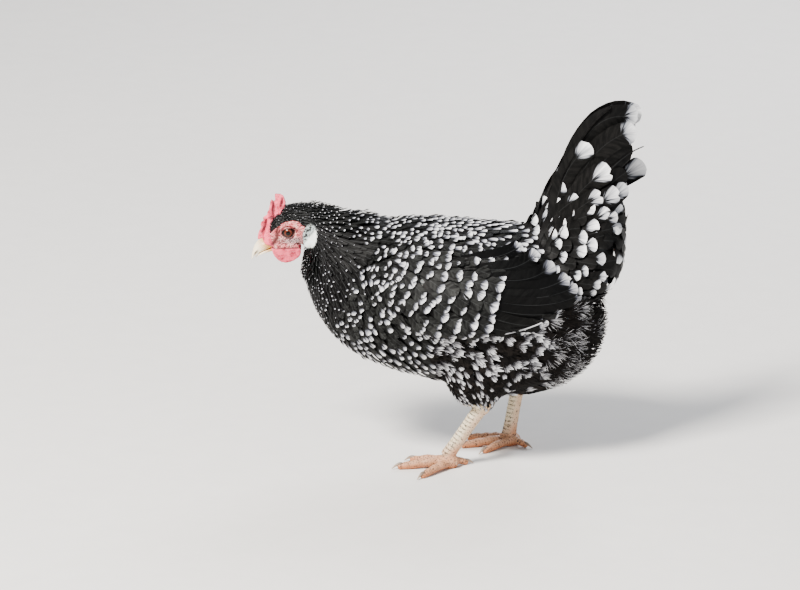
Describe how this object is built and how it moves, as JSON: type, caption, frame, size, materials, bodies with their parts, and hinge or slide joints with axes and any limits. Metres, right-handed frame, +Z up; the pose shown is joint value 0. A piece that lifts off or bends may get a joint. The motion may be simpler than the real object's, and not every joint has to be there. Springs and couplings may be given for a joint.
{
  "type": "hen",
  "caption": "Life-size standing hen with mottled black and white plumage, a low red comb and a tall folded tail, made as a still display model.",
  "frame": {"origin": "middle of the bounding box's base, on the floor between the feet", "axes": "+X towards the tail, so the hen faces -X; -Y is its left side; +Z up"},
  "size_m": [0.405, 0.1818, 0.3921],
  "materials": {
    "plumage": "soft black feathers with white tips",
    "red_skin": "finely grained bare skin",
    "white_lobe": "smooth pale skin",
    "horn": "pale polished horn",
    "eye": "wet amber eye with a black pupil",
    "leg": "pale scaled skin with dark flecks"
  },
  "bodies": {
    "root": {"trunk": "plumage", "neck": "plumage", "head": "plumage", "wing_left": "plumage", "wing_right": "plumage", "tail_coverts": "plumage", "tail_fan": "plumage", "thigh_left": "plumage", "thigh_right": "plumage", "comb": "red_skin", "wattle_left": "red_skin", "wattle_right": "red_skin", "earlobe_left": "white_lobe", "earlobe_right": "white_lobe", "beak_upper": "horn", "beak_lower": "horn", "claw_left_hallux": "horn", "claw_left_inner": "horn", "claw_left_middle": "horn", "claw_left_outer": "horn", "claw_right_hallux": "horn", "claw_right_inner": "horn", "claw_right_middle": "horn", "claw_right_outer": "horn", "eye_left": "eye", "eye_right": "eye", "shank_left": "leg", "shank_right": "leg", "pad_left": "leg", "pad_right": "leg", "toe_left_hallux": "leg", "toe_left_inner": "leg", "toe_left_middle": "leg", "toe_left_outer": "leg", "toe_right_hallux": "leg", "toe_right_inner": "leg", "toe_right_middle": "leg", "toe_right_outer": "leg"}
  },
  "joints": []
}
